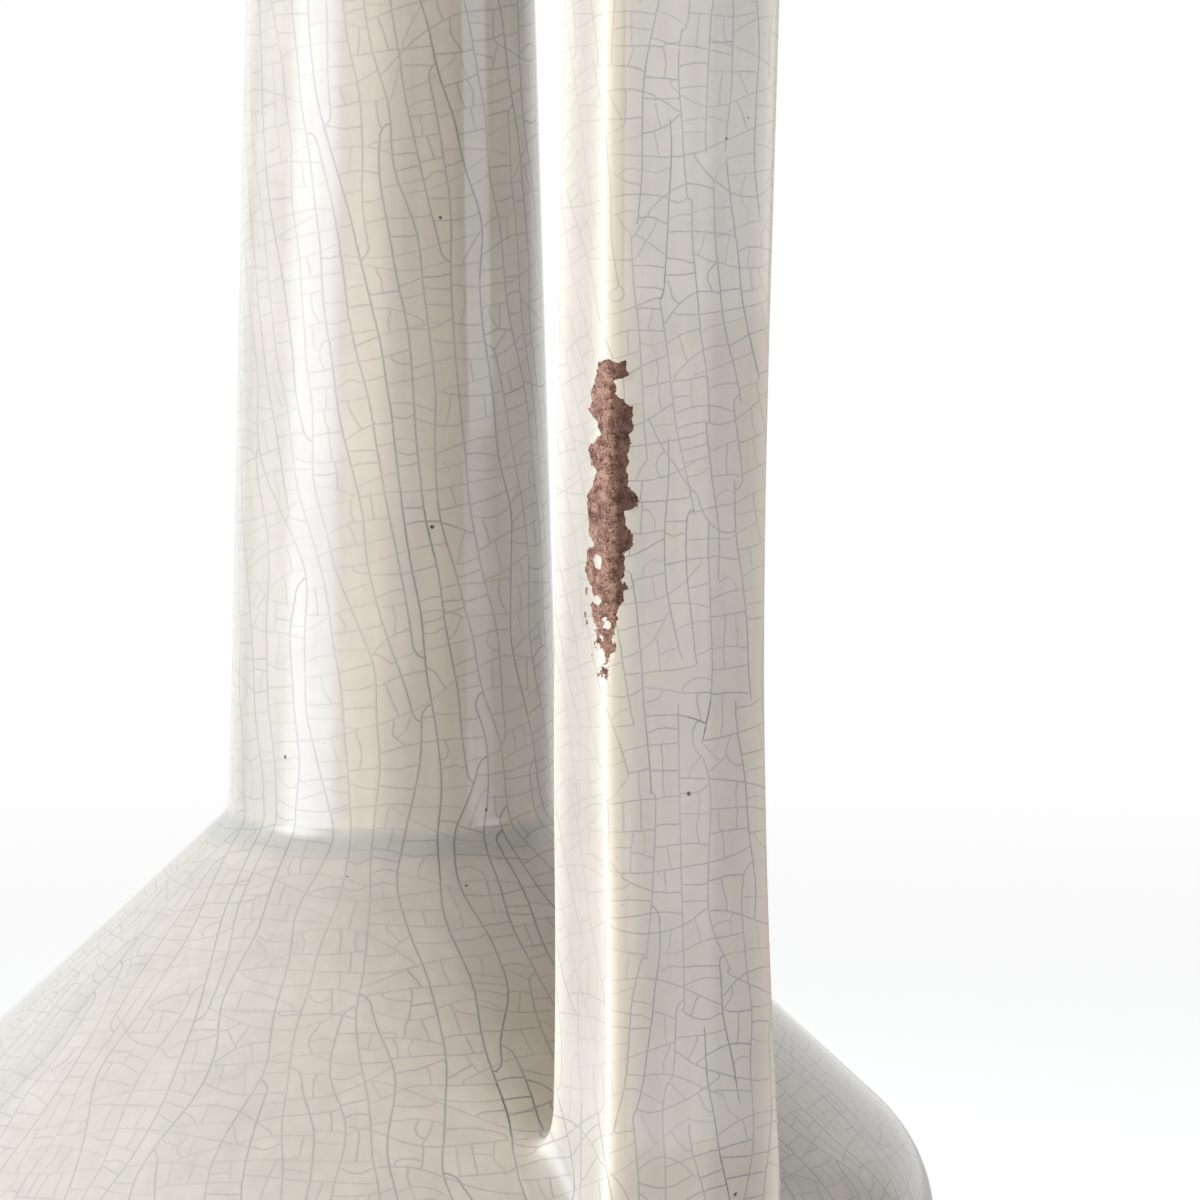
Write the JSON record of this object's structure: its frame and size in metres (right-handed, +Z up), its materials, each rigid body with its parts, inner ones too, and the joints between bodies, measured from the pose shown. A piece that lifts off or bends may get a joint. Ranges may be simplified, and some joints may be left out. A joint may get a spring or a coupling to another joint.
{
  "type": "jug vase",
  "caption": "Tall stoneware jug vase with a round flattened body, a long tapered neck, a rolled mouth and a square strap handle, under a pale crackle glaze.",
  "frame": {"origin": "centre of the foot ring's resting face", "axes": "+Z up along the vase's axis, +X towards the handle"},
  "size_m": [0.1712, 0.1708, 0.3089],
  "materials": {
    "crackle_glaze": "glossy pale grey-cream glaze with a fine stained crackle, over brown stoneware",
    "bare_stoneware": "matt bare reddish-brown stoneware"
  },
  "bodies": {
    "root": {"foot_ring": "bare_stoneware", "lower_body": "crackle_glaze", "shoulder": "crackle_glaze", "neck": "crackle_glaze", "mouth_rim": "crackle_glaze", "strap_handle": "crackle_glaze", "lower_handle_root": "crackle_glaze", "upper_handle_root": "crackle_glaze"}
  },
  "joints": []
}
